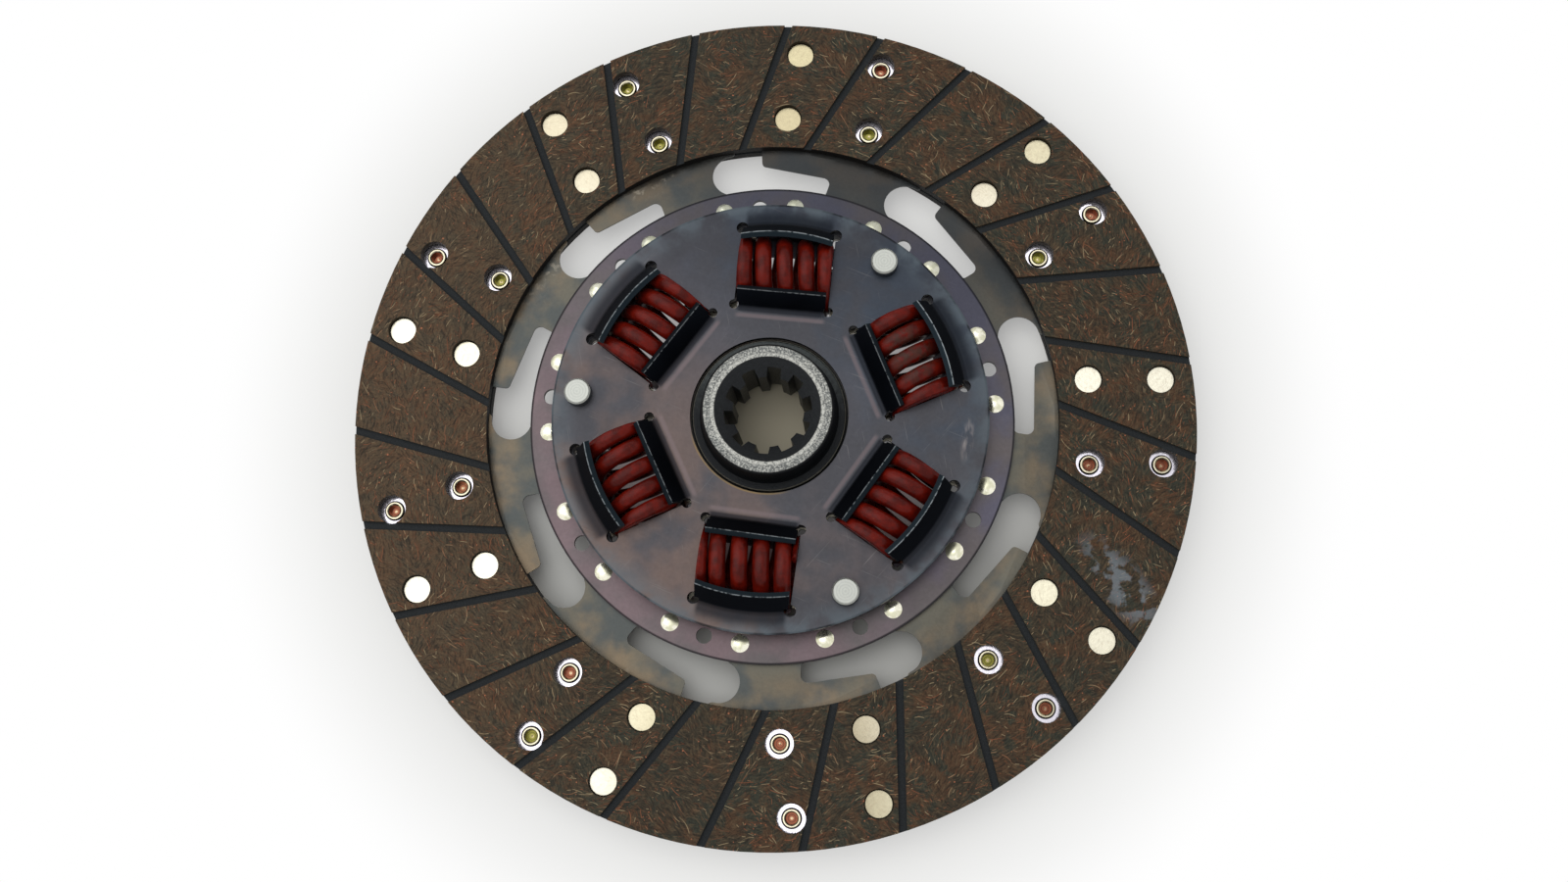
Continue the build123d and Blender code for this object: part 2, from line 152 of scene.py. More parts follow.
def newGroup(name, inputs, outputs):
    # inputs are {name: start value}, where None is a vector; outputs are names of values
    group = bpy.data.node_groups.new(name, "ShaderNodeTree")
    for title, value in inputs.items():
        kind = "NodeSocketVector" if value is None else "NodeSocketFloat"
        socket = group.interface.new_socket(title, in_out="INPUT", socket_type=kind)
        if value is not None:
            socket.default_value = value
    for title in outputs:
        group.interface.new_socket(title, in_out="OUTPUT", socket_type="NodeSocketFloat")
    return group, group.nodes.new("NodeGroupInput").outputs, group.nodes.new("NodeGroupOutput").inputs


def use(tree, group, inputs):
    node = tree.nodes.new("ShaderNodeGroup")
    node.node_tree = group
    for name, value in inputs.items():
        feed(tree, node.inputs[name], value)
    return node.outputs


# shared effects
def makeBlotches():
    # mask = smooth step of noise n(place / size) from level - softness to level + softness
    inputs = {"Place": None, "Size": 10.0, "Level": 0.5, "Softness": 0.06}
    group, given, out = newGroup("blotches", inputs, ["Mask"])
    size = joined(group, given["Size"], given["Size"], given["Size"])
    value = noise(group, calcVector(group, "DIVIDE", given["Place"], size), size=1.0, detail=3.0)
    low = calc(group, "SUBTRACT", given["Level"], given["Softness"])
    high = calc(group, "ADD", given["Level"], given["Softness"])
    feed(group, out["Mask"], rise(group, value, low, high))
    return group


def makeGrain():
    # shade = 1 + contrast (n - 0.5) and height = n, with n the noise of place / size
    group, given, out = newGroup("grain", {"Place": None, "Size": 0.5, "Contrast": 0.5}, ["Shade", "Height"])
    size = joined(group, given["Size"], given["Size"], given["Size"])
    value = noise(group, calcVector(group, "DIVIDE", given["Place"], size), size=1.0, detail=4.0)
    feed(group, out["Shade"], calc(group, "ADD", centred(group, value, given["Contrast"]), 1.0))
    feed(group, out["Height"], value)
    return group


def makeScratches():
    # turned by angle, noise of (u / length, v / width, z / depth) above a level leaves thin streaks along u
    depth, softness = 40.0, 0.05
    inputs = {"Place": None, "Angle": 0.0, "Length": 30.0, "Width": 0.3, "Level": 0.62}
    group, given, out = newGroup("scratches", inputs, ["Mask"])
    lying = turned(group, given["Place"], calc(group, "RADIANS", given["Angle"]))
    stretch = joined(group, given["Length"], given["Width"], depth)
    value = noise(group, calcVector(group, "DIVIDE", lying, stretch), size=1.0, detail=1.0)
    high = calc(group, "ADD", given["Level"], softness)
    feed(group, out["Mask"], rise(group, value, given["Level"], high))
    return group


def makeRepeatedPlace():
    # number = round((atan2(y, x) - start) / pitch); (out, along) is the place turned back by
    # start + number pitch, and distance is from the point (circle, side) there
    inputs = {"Place": None, "Circle": 100.0, "Side": 0.0, "Start": 0.0, "Pitch": 40.0}
    group, given, out = newGroup("repeated place", inputs, ["Distance", "Number", "Out", "Along"])
    at = parts(group, given["Place"])
    bearing = calc(group, "DEGREES", calc(group, "ARCTAN2", at["Y"], at["X"]))
    steps = calc(group, "DIVIDE", calc(group, "SUBTRACT", bearing, given["Start"]), given["Pitch"])
    number = calc(group, "ROUND", steps)
    angle = calc(group, "ADD", given["Start"], times(group, number, given["Pitch"]))
    back = times(group, calc(group, "RADIANS", angle), -1.0)
    near = parts(group, turned(group, given["Place"], back))
    outwards = calc(group, "POWER", calc(group, "SUBTRACT", near["X"], given["Circle"]), 2.0)
    sideways = calc(group, "POWER", calc(group, "SUBTRACT", near["Y"], given["Side"]), 2.0)
    feed(group, out["Distance"], calc(group, "SQRT", calc(group, "ADD", outwards, sideways)))
    feed(group, out["Number"], number)
    feed(group, out["Out"], near["X"])
    feed(group, out["Along"], near["Y"])
    return group


def patchCells(tree, place, size, shift):
    # flat Voronoi cells of (place + shift) / size: a cell's middle as shifted, its home on the piece, the
    # offset from the middle, and three chances from its random colour
    apart = joined(tree, shift, shift, 0.0)
    moved = calcVector(tree, "ADD", calcVector(tree, "MULTIPLY", place, (1, 1, 0)), apart)
    sizes = joined(tree, size, size, size)
    inputs = {"Vector": calcVector(tree, "DIVIDE", moved, sizes), "Scale": 1.0}
    cells = put(tree, "TexVoronoi", {"voronoi_dimensions": "2D"}, inputs).outputs
    middle = calcVector(tree, "MULTIPLY", cells["Position"], sizes)
    return {
        "middle": middle, "home": calcVector(tree, "SUBTRACT", middle, apart),
        "offset": calcVector(tree, "SUBTRACT", moved, middle),
        "chances": put(tree, "SeparateColor", {}, {0: cells["Color"]}).outputs[:3],
    }


def alongFlow(tree, cell, swing):
    # (across, along) from a cell's middle, turned back by atan2(y, x) + sway (noise - 0.5) + swing, so that
    # along runs round the disc, swayed slowly and by the cell's own swing
    swaySize, sway = 17.0, 6.0
    home = parts(tree, cell["home"])
    swayed = centred(tree, noise(tree, cell["home"], swaySize, detail=1.0), sway)
    angle = calc(tree, "ADD", calc(tree, "ARCTAN2", home["Y"], home["X"]), calc(tree, "ADD", swayed, swing))
    return parts(tree, turned(tree, cell["offset"], times(tree, angle, -1.0)))[:2]


def makeFibres():
    # one curved stroke in a share of Voronoi cells: |v - bend u^2| < width and |u| < reach, (v, u) being
    # across and along the flow, bend a chance, and reach from shortest length to length
    swing, bend, core, taper, shortest = 1.0, 0.25, 0.4, 0.6, 0.25
    inputs = {"Place": None, "Cell": 4.0, "Length": 2.0, "Width": 0.2, "Share": 0.6, "Shift": 0.0}
    group, given, out = newGroup("curved fibres", inputs, ["Mask", "Kind"])
    cell = patchCells(group, given["Place"], given["Cell"], given["Shift"])
    first, second, third = cell["chances"]
    v, u = alongFlow(group, cell, centred(group, first, swing))
    curve = times(group, centred(group, second, bend), times(group, u, u))
    off = calc(group, "ABSOLUTE", calc(group, "SUBTRACT", v, curve))
    line = rise(group, off, given["Width"], times(group, given["Width"], core))
    reach = times(group, given["Length"], lifted(group, third, shortest, 1 - shortest))
    along = rise(group, calc(group, "ABSOLUTE", u), reach, times(group, reach, taper))
    chance = put(group, "TexWhiteNoise", {"noise_dimensions": "2D"}, {"Vector": cell["middle"]}).outputs
    present = calc(group, "LESS_THAN", chance["Value"], given["Share"])
    feed(group, out["Mask"], times(group, line, along, present))
    feed(group, out["Kind"], parts(group, chance["Color"])["Y"])
    return group


def makeSpecks():
    # a dot in a share of Voronoi cells: distance to the cell's middle < radius (smallest + chance)
    smallest, core = 0.5, 0.5
    inputs = {"Place": None, "Cell": 1.6, "Radius": 0.3, "Share": 0.4, "Shift": 0.0}
    group, given, out = newGroup("specks", inputs, ["Mask", "Kind"])
    cell = patchCells(group, given["Place"], given["Cell"], given["Shift"])
    first, second, third = cell["chances"]
    radius = times(group, given["Radius"], calc(group, "ADD", smallest, second))
    dot = rise(group, lengthOf(group, cell["offset"]), radius, times(group, radius, core))
    feed(group, out["Mask"], times(group, dot, calc(group, "LESS_THAN", first, given["Share"])))
    feed(group, out["Kind"], third)
    return group


def makeCombed():
    # patches of streaks: in each Voronoi cell, noise of (u / length, (v + warp) / width, apart chance), with
    # (v, u) across and along the flow and warp a slow noise
    swing, warpSize, warp, apart = 1.6, 5.0, 2.5, 60.0
    inputs = {"Place": None, "Patch": 11.0, "Length": 4.0, "Width": 0.5, "Shift": 0.0}
    group, given, out = newGroup("combed streaks", inputs, ["Value"])
    cell = patchCells(group, given["Place"], given["Patch"], given["Shift"])
    first, second = cell["chances"][:2]
    v, u = alongFlow(group, cell, centred(group, first, swing))
    warped = times(group, noise(group, given["Place"], warpSize, detail=1.0), warp)
    across = calc(group, "DIVIDE", calc(group, "ADD", v, warped), given["Width"])
    along = calc(group, "DIVIDE", u, given["Length"])
    streak = joined(group, along, across, times(group, second, apart))
    feed(group, out["Value"], noise(group, streak, size=1.0, detail=2.0))
    return group


blotches = makeBlotches()
grain = makeGrain()
scratches = makeScratches()
repeatedPlace = makeRepeatedPlace()
fibres = makeFibres()
combed = makeCombed()
specks = makeSpecks()
print("shared effects made")


def newFinish(name):
    # a material, its tree, its shader's inputs, and the place on the piece in millimetres
    material = bpy.data.materials.new(name)
    material.use_nodes = True
    tree = material.node_tree
    place = scaled(tree, put(tree, "TexCoord", {}, {}).outputs["Object"], 1000.0)
    return material, tree, tree.nodes["Principled BSDF"].inputs, place


def fromAxis(tree, place):
    return lengthOf(tree, calcVector(tree, "MULTIPLY", place, (1, 1, 0)))


def facingUp(tree):
    return parts(tree, put(tree, "NewGeometry", {}, {}).outputs["Normal"])["Z"]


def cloudsOf(tree, place, settings):
    return use(tree, blotches, {"Place": place, **settings})["Mask"]


def grainOf(tree, place, size, contrast):
    return use(tree, grain, {"Place": place, "Size": size, "Contrast": contrast})


def settle(tree, surface, look, colour, roughness, height):
    # the shader's colour, roughness and bumps, with the constants of the piece's dictionary
    feed(tree, surface["Base Color"], colour)
    feed(tree, surface["Roughness"], roughness)
    surface["Metallic"].default_value = look.get("metallic", 0.0)
    surface["Specular IOR Level"].default_value = look.get("specular", 0.5)
    bump = put(tree, "Bump", {}, {"Strength": 1.0, "Distance": look["bump"], "Height": height})
    feed(tree, surface["Normal"], bump.outputs[0])


def dress(material, *names):
    for name in names:
        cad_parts[name].material_slots[0].material = material


def spot(tree, place, middle, angle, length, width):
    # 1 well inside the ellipse (u / length)^2 + (v / width)^2 < 1 round middle, falling to 0 at its edge
    moved = turned(tree, calcVector(tree, "SUBTRACT", place, (*middle, 0)), math.radians(-angle))
    away = lengthOf(tree, calcVector(tree, "DIVIDE", moved, (length, width, farAway)))
    return rise(tree, away, 1.0, 0.35)


# friction lining: pressed dark fibre compound with copper and brass strands
lining = {
    "base": tone(60, 53, 42), "warm": tone(78, 58, 42), "green": tone(54, 55, 46), "light": tone(106, 84, 64),
    "dark": tone(34, 32, 27), "tan": tone(96, 80, 60), "rust": tone(100, 64, 45), "copper": tone(144, 88, 62),
    "straw": tone(164, 146, 114), "fleck": tone(186, 116, 84), "groove": tone(38, 41, 43),
    "side": tone(54, 47, 37), "innerWallShade": tone(22, 20, 19), "film": tone(134, 144, 152),
    "warmClouds": {"Size": 9.0, "Level": 0.52, "Softness": 0.08}, "greenClouds": {"Size": 6.0, "Level": 0.55},
    "lightFrom": (-30.0, -130.0), "faceHeight": 4.3, "innerWall": 95.6,
    "combs": [{"Shift": 19.0, "Patch": 12.0}, {"Shift": 133.0, "Patch": 8.0}],
    "streaks": {"Length": 3.4, "Width": 0.6},
    "strands": [
        # cell, length, width, share, shift
        (7.2, 4.2, 0.16, 0.7, 0.0), (4.9, 2.8, 0.15, 0.7, 31.7), (3.3, 1.7, 0.14, 0.7, 77.3),
        (6.1, 3.4, 0.15, 0.7, 153.1), (2.3, 1.0, 0.15, 0.6, 211.9), (3.9, 2.2, 0.14, 0.6, 307.0),
    ],
    "bunchSize": 9.0, "bunches": (0.38, 0.6),
    "flecks": [
        # cell, radius, share, shift
        (1.7, 0.2, 0.22, 3.0), (2.9, 0.28, 0.2, 47.0),
    ],
    "crowdSize": 7.0, "crowds": (0.44, 0.62),
    "smear": {"middle": (114, -54), "angle": -52, "length": 24, "width": 9},
    "filmClouds": {"Size": 5.0, "Level": 0.52, "Softness": 0.05},
    "specular": 0.12, "bump": 0.00015,
}


def addStrands(tree, place, top, colour):
    # strokes on the top faces, rust to copper to straw by their kind, thicker on the ground in bunches
    total = 0.0
    for cell, length, width, share, shift in lining["strands"]:
        layer = use(tree, fibres, {
            "Place": place, "Cell": cell, "Length": length, "Width": width, "Share": share, "Shift": shift})
        kind = mixTone(tree, rise(tree, layer["Kind"], 0.35, 0.65), lining["rust"], lining["copper"])
        kind = mixTone(tree, rise(tree, layer["Kind"], 0.65, 0.85), kind, lining["straw"])
        moved = scaled(tree, place, 1 + shift / 900)
        bunch = rise(tree, noise(tree, moved, lining["bunchSize"], detail=1.0), *lining["bunches"])
        seen = times(tree, layer["Mask"], top, lifted(tree, bunch, base=0.12, spread=0.75))
        colour = mixTone(tree, seen, colour, kind)
        total = calc(tree, "MAXIMUM", total, seen)
    return colour, total


def addFlecks(tree, place, top, colour):
    # copper dots on the top faces, crowded where a slow noise is high
    for cell, radius, share, shift in lining["flecks"]:
        dots = use(tree, specks, {
            "Place": place, "Cell": cell, "Radius": radius, "Share": share, "Shift": shift})
        moved = scaled(tree, place, 1 + shift / 90)
        crowd = rise(tree, noise(tree, moved, lining["crowdSize"], detail=1.0), *lining["crowds"])
        seen = times(tree, dots["Mask"], top, crowd, lifted(tree, dots["Kind"], base=0.4, spread=0.6))
        colour = mixTone(tree, seen, colour, lining["fleck"])
    return colour


def makeLining():
    # warm and green clouds on the base, lighter towards -x as painted light, dark and tan combed streaks,
    # grain, strands and flecks; the walls have a plain tone, the inner wall a near-black painted shade and
    # the grooves a dark painted shade, and a grey film lies in a spot of the front face
    material, tree, surface, place = newFinish("friction lining")
    at = parts(tree, place)
    level = calc(tree, "ABSOLUTE", at["Z"])
    up = calc(tree, "ABSOLUTE", facingUp(tree))
    flat = rise(tree, up, 0.5, 0.8)
    top = times(tree, rise(tree, level, lining["faceHeight"] - 0.4, lining["faceHeight"] - 0.1), flat)
    colour = mixTone(tree, cloudsOf(tree, place, lining["warmClouds"]), lining["base"], lining["warm"])
    colour = mixTone(tree, cloudsOf(tree, place, lining["greenClouds"]), colour, lining["green"])
    # lighter towards -x: painted light
    colour = tint(tree, colour, rise(tree, at["X"], *lining["lightFrom"]), lining["light"], share=0.4)
    for comb in lining["combs"]:
        streaks = use(tree, combed, {"Place": place, **lining["streaks"], **comb})["Value"]
        colour = tint(tree, colour, rise(tree, streaks, 0.47, 0.34), lining["dark"], share=0.6)
        colour = tint(tree, colour, rise(tree, streaks, 0.54, 0.68), lining["tan"], share=0.5)
    fine = grainOf(tree, place, size=0.5, contrast=1.3)
    colour = shadeBy(tree, colour, fine["Shade"])
    colour, strands = addStrands(tree, place, top, colour)
    colour = addFlecks(tree, place, top, colour)
    # the inner wall near black: painted shade
    inner = rise(tree, fromAxis(tree, place), lining["innerWall"] + 0.3, lining["innerWall"])
    side = mixTone(tree, inner, lining["side"], lining["innerWallShade"])
    colour = mixTone(tree, rise(tree, up, 0.7, 0.4), colour, side)
    # the grooves' dark tone: painted shade in the recesses
    low = times(tree, rise(tree, level, lining["faceHeight"] - 0.1, lining["faceHeight"] - 0.6), flat)
    colour = mixTone(tree, low, colour, shadeBy(tree, lining["groove"], fine["Shade"]))
    film = times(tree, spot(tree, place, **lining["smear"]), cloudsOf(tree, place, lining["filmClouds"]), top,
                 rise(tree, at["Z"], 0.0, 1.0))
    colour = tint(tree, colour, film, lining["film"], share=0.55)
    roughness = lifted(tree, film, base=0.6, spread=-0.25)
    settle(tree, surface, lining, colour, roughness, lifted(tree, strands, fine["Height"], spread=0.3))
    return material


dress(makeLining(), "front_facing", "rear_facing")

# cushion segments: bare grey spring steel, bright where the lining has rubbed it, and round each rivet rubbed
# by the rivet tools and brightened by a painted highlight
segment = {
    "base": tone(84, 82, 74), "brown": tone(103, 91, 75), "blue": tone(68, 71, 70), "dark": tone(40, 42, 44),
    "worn": tone(150, 142, 128), "ringHighlight": tone(226, 222, 232), "shade": tone(16, 16, 18),
    "brownClouds": {"Size": 20.0, "Level": 0.48, "Softness": 0.14}, "brownFrom": (80.0, 92.0),
    "blueClouds": {"Size": 15.0, "Level": 0.52, "Softness": 0.12},
    "darkFrom": (35.0, 95.0), "wornFrom": (88.0, 94.0), "wornSide": (20.0, -20.0),
    "wornMarks": {"Size": 2.2, "Level": 0.6}, "wornPatches": {"Size": 30.0, "Level": 0.58},
    "ringRadius": 4.8, "clinchRadius": 3.2, "metallic": 0.9, "bump": 0.00003,
}


def makeSegmentSteel():
    # brown and blue clouds on the base, darker towards +y as painted shade, grained and rubbed in patches;
    # round each rivet a bright ring under a painted highlight, and a painted contact shadow within
    # clinchRadius
    material, tree, surface, place = newFinish("segment spring steel")
    at = parts(tree, place)
    away = fromAxis(tree, place)
    brown = times(tree, cloudsOf(tree, place, segment["brownClouds"]),
                  rise(tree, away, *segment["brownFrom"]))
    colour = mixTone(tree, brown, segment["base"], segment["brown"])
    blue = cloudsOf(tree, scaled(tree, place, -1.0), segment["blueClouds"])
    colour = mixTone(tree, blue, colour, segment["blue"])
    # darker towards +y: painted shade
    upperShade = rise(tree, lifted(tree, at["X"], at["Y"], spread=0.4), *segment["darkFrom"])
    colour = tint(tree, colour, upperShade, segment["dark"], share=0.85)
    fine = grainOf(tree, place, size=0.9, contrast=0.5)
    colour = shadeBy(tree, colour, fine["Shade"])
    worn = times(tree, rise(tree, away, *segment["wornFrom"]), rise(tree, at["X"], *segment["wornSide"]),
                 cloudsOf(tree, place, segment["wornMarks"]),
                 cloudsOf(tree, place, segment["wornPatches"]))
    colour = tint(tree, colour, worn, segment["worn"], share=0.4)
    # the rear side is the front turned over about x, so its rivets sit at y times the sign of z
    mirrored = joined(tree, at["X"], times(tree, at["Y"], calc(tree, "SIGN", at["Z"])), 0.0)
    near = farAway
    for circle in facingRows["circles"]:
        found = use(tree, repeatedPlace, {"Place": mirrored, "Circle": circle, "Side": -facingRows["side"]})
        near = calc(tree, "MINIMUM", near, found["Distance"])
    # a bright ring round each rivet: rubbed steel under a painted highlight
    ring = rise(tree, near, segment["ringRadius"] + 0.4, segment["ringRadius"])
    ringHighlight = mixTone(tree, 0.4, segment["ringHighlight"], fine["Shade"], "MULTIPLY")
    colour = mixTone(tree, ring, colour, ringHighlight)
    # dark within clinchRadius: a painted contact shadow round the clinch
    clinch = rise(tree, near, segment["clinchRadius"] + 0.3, segment["clinchRadius"] + 0.1)
    colour = mixTone(tree, clinch, colour, segment["shade"])
    roughness = lifted(tree, ring, lifted(tree, fine["Height"], base=0.3, spread=0.2), spread=-0.25)
    settle(tree, surface, segment, colour, roughness, fine["Height"])
    return material


dress(makeSegmentSteel(), *[f"cushion_segment_{number}" for number in range(1, 10)])

# facing rivets: pale flat heads, and rolled ends with a brown or yellow bore
rivet = {
    "head": tone(230, 226, 212), "dim": tone(158, 146, 118), "yellow": tone(206, 198, 160),
    "shaded": tone(112, 102, 82), "mark": tone(150, 134, 112), "lip": tone(206, 198, 172),
    "copper": tone(120, 70, 50), "olive": tone(116, 112, 50), "black": tone(14, 14, 16),
    "spark": tone(206, 186, 150), "headFrom": (1.3, 1.6), "brightFrom": (10.0, 75.0),
    "upperFrom": (30.0, 100.0), "shadedFrom": (-80.0, -115.0), "shadedWithin": (55.0, 15.0),
    "marks": {"Patch": 4.0, "Length": 2.0, "Width": 0.8, "Shift": 5.0},
    "bore": 1.95, "lipInner": 2.2, "lipOuter": 2.95, "ringRate": 6.5, "sparkSize": 0.8,
    "metallic": 0.85, "bump": 0.00004,
}


def nearestRivet(tree, place):
    # the distance to the nearest of the rivets' axes, and a random value for each rivet
    nearest, number = farAway, 0.0
    for side in (-1, 1):
        for circle in facingRows["circles"]:
            found = use(tree, repeatedPlace, {
                "Place": place, "Circle": circle, "Side": side * facingRows["side"]})
            closer = calc(tree, "LESS_THAN", found["Distance"], nearest)
            nearest = calc(tree, "MINIMUM", nearest, found["Distance"])
            here = lifted(tree, found["Number"], circle * 0.1 + side, spread=1.37)
            kept = times(tree, number, calc(tree, "SUBTRACT", 1.0, closer))
            number = calc(tree, "ADD", kept, times(tree, here, closer))
    whole = calc(tree, "ROUND", times(tree, number, 50.0))
    return nearest, put(tree, "TexWhiteNoise", {"noise_dimensions": "1D"}, {"W": whole}).outputs["Value"]


def headColour(tree, place, at, chance):
    # dim near x = 0 and towards +y and bright away from there, a painted reflection; more or less yellow by
    # chance, painted shade at the lowest rivets, with faint marks
    # the head's brightness by place: painted reflection
    off = calc(tree, "ABSOLUTE", at["X"])
    lower = lifted(tree, rise(tree, at["Y"], *rivet["upperFrom"]), base=1.0, spread=-0.7)
    shine = times(tree, rise(tree, off, *rivet["brightFrom"]), lower)
    colour = mixTone(tree, shine, rivet["dim"], rivet["head"])
    colour = tint(tree, colour, chance, rivet["yellow"], share=0.5)
    lowest = times(tree, rise(tree, at["Y"], *rivet["shadedFrom"]), rise(tree, off, *rivet["shadedWithin"]))
    colour = tint(tree, colour, lowest, rivet["shaded"], share=0.75)
    marks = use(tree, combed, {"Place": place, **rivet["marks"]})["Value"]
    return tint(tree, colour, rise(tree, marks, 0.52, 0.66), rivet["mark"], share=0.22)


def boreColour(tree, place, nearest, chance):
    # copper or olive by chance, dark rings sin(rate distance), a spark in the middle that is a painted glint,
    # and the lip round it with black past it, a painted shadow in the gap
    colour = mixTone(tree, rise(tree, chance, 0.6, 0.62), rivet["copper"], rivet["olive"])
    rings = calc(tree, "SINE", times(tree, nearest, rivet["ringRate"]))
    colour = tint(tree, colour, rise(tree, rings, 0.2, 0.8), rivet["black"], share=0.5)
    # the spark: a painted glint
    spark = times(tree, rise(tree, nearest, 0.7, 0.3),
                  rise(tree, noise(tree, place, rivet["sparkSize"]), 0.4, 0.55))
    colour = tint(tree, colour, spark, rivet["spark"], share=0.7)
    lip = rise(tree, nearest, rivet["bore"], rivet["lipInner"])
    colour = mixTone(tree, lip, colour, rivet["lip"])
    # black past the lip: a painted shadow in the gap round the rolled end
    past = rise(tree, nearest, rivet["lipOuter"] - 0.1, rivet["lipOuter"] + 0.1)
    return mixTone(tree, past, colour, rivet["black"])


def makeFacingRivet():
    # the head's colour where the surface faces outwards beyond headFrom, and the rolled end's elsewhere
    material, tree, surface, place = newFinish("facing rivet metal")
    at = parts(tree, place)
    outward = times(tree, at["Z"], facingUp(tree))
    head = rise(tree, outward, *rivet["headFrom"])
    nearest, chance = nearestRivet(tree, place)
    fine = grainOf(tree, place, size=1.3, contrast=0.3)
    flat = shadeBy(tree, headColour(tree, place, at, chance), fine["Shade"])
    colour = mixTone(tree, head, boreColour(tree, place, nearest, chance), flat)
    settle(tree, surface, rivet, colour, lifted(tree, head, base=0.16, spread=0.16), fine["Height"])
    return material


dress(makeFacingRivet(), "front_facing_rivets", "rear_facing_rivets")

# plate rivets: low pale domes
dome = {
    "base": tone(250, 247, 228), "dull": tone(226, 224, 196), "dim": tone(142, 146, 132),
    "clouds": {"Size": 2.5, "Level": 0.5}, "dimFrom": (15.0, 75.0), "metallic": 0.9, "bump": 0.00005,
}


def makePlateRivet():
    # dull clouds on the base, dimmer towards +y as painted shade, grained
    material, tree, surface, place = newFinish("plate rivet metal")
    fine = grainOf(tree, place, size=0.9, contrast=0.3)
    dull = cloudsOf(tree, place, dome["clouds"])
    colour = mixTone(tree, dull, dome["base"], dome["dull"])
    # dimmer towards +y: painted shade
    upperShade = rise(tree, parts(tree, place)["Y"], *dome["dimFrom"])
    colour = tint(tree, colour, upperShade, dome["dim"], share=0.7)
    colour = shadeBy(tree, colour, fine["Shade"])
    settle(tree, surface, dome, colour, lifted(tree, dull, base=0.22, spread=0.12), fine["Height"])
    return material


dress(makePlateRivet(), "plate_rivets")

# pressed plates: blued steel, blue-grey cover and browner rim
plate = {
    "cover": (tone(58, 64, 73), tone(88, 76, 72), tone(62, 62, 66)),
    "drive": (tone(77, 76, 88), tone(98, 85, 88), tone(84, 79, 80)),
    "dark": tone(30, 33, 40), "shadow": tone(18, 18, 21), "worn": tone(126, 124, 122),
    "reliefLight": tone(214, 208, 190), "coverRim": tone(78, 87, 93), "lip": tone(12, 16, 23),
    "cut": tone(22, 31, 37), "line": tone(168, 176, 180), "bend": tone(104, 92, 94),
    "goldReflection": tone(128, 104, 52), "pale": tone(160, 150, 146),
    "coverRadius": 71.5, "driveRadius": 80.4, "warmSize": 40.0, "warmFrom": (100.0, -50.0),
    "clouds": {"Size": 24.0, "Level": 0.53, "Softness": 0.12}, "darkFrom": (10.0, 80.0),
    "scratches": [
        # angle, length, level
        (22.0, 16.0, 0.73), (78.0, 12.0, 0.74), (131.0, 20.0, 0.74),
    ],
    "scratchWidth": 0.3,
    "firstWindows": (22.7, 84.7), "windowPitch": 120.0, "halfWidth": 15.6, "shadeEnd": 13.6,
    "outerShade": (71.0, 66.8), "outerLip": (54.0, 57.0), "innerShade": (33.5, 34.5),
    "innerLip": (46.6, 43.6), "bendLine": 32.7, "bendHalf": (1.1, 0.2),
    "reliefs": (36.2, 62.6), "reliefRim": 3.6, "frontFace": (1.2, 1.6),
    "rimFrom": (62.0, 74.0), "rimSize": 9.0, "lipAbove": (12.5, 13.3), "lipBelow": (12.2, 11.6),
    "cutAbove": (16.5, 17.0), "outerCrest": (19.16, 19.32), "innerCrest": (17.76, 17.92),
    "innerLipsWithin": (45.0, 42.0), "crestSize": 1.4,
    "goldWithin": (26.7, 26.3), "goldBelow": (-20.0, -26.0),
    "paleSpot": {"middle": (64.5, -8.0), "angle": 80.0, "length": 9.0, "width": 2.6}, "paleSize": 1.6,
    "metallic": 0.85, "specular": 0.3, "bump": 0.00003,
}


def windowShade(tree, place, away):
    # painted shade is 1 at the lips of each window and falls to 0 some millimetres outside their bends; glint
    # is a painted highlight along the inner bend
    shade, glint = 0.0, 0.0
    for start in plate["firstWindows"]:
        found = use(tree, repeatedPlace, {
            "Place": place, "Circle": 0.0, "Start": start, "Pitch": plate["windowPitch"]})
        side = rise(tree, calc(tree, "ABSOLUTE", found["Along"]), plate["halfWidth"], plate["shadeEnd"])
        outer = times(tree, rise(tree, away, *plate["outerShade"]), rise(tree, away, *plate["outerLip"]))
        inner = times(tree, rise(tree, found["Out"], *plate["innerShade"]),
                      rise(tree, found["Out"], *plate["innerLip"]))
        shade = calc(tree, "MAXIMUM", shade, times(tree, side, calc(tree, "MAXIMUM", outer, inner)))
        off = calc(tree, "ABSOLUTE", calc(tree, "SUBTRACT", found["Out"], plate["bendLine"]))
        glint = calc(tree, "MAXIMUM", glint, times(tree, side, rise(tree, off, *plate["bendHalf"])))
    return shade, glint


def reliefEdge(tree, place):
    # 1 on the front face, within a rim's radius of the relief holes at the windows' corners
    near = farAway
    for start in plate["firstWindows"]:
        for side in (-1, 1):
            for circle in plate["reliefs"]:
                found = use(tree, repeatedPlace, {
                    "Place": place, "Circle": circle, "Side": side * plate["halfWidth"], "Start": start,
                    "Pitch": plate["windowPitch"]})
                near = calc(tree, "MINIMUM", near, found["Distance"])
    front = rise(tree, parts(tree, place)["Z"], *plate["frontFace"])
    return times(tree, front, rise(tree, near, plate["reliefRim"] + 0.2, plate["reliefRim"]))


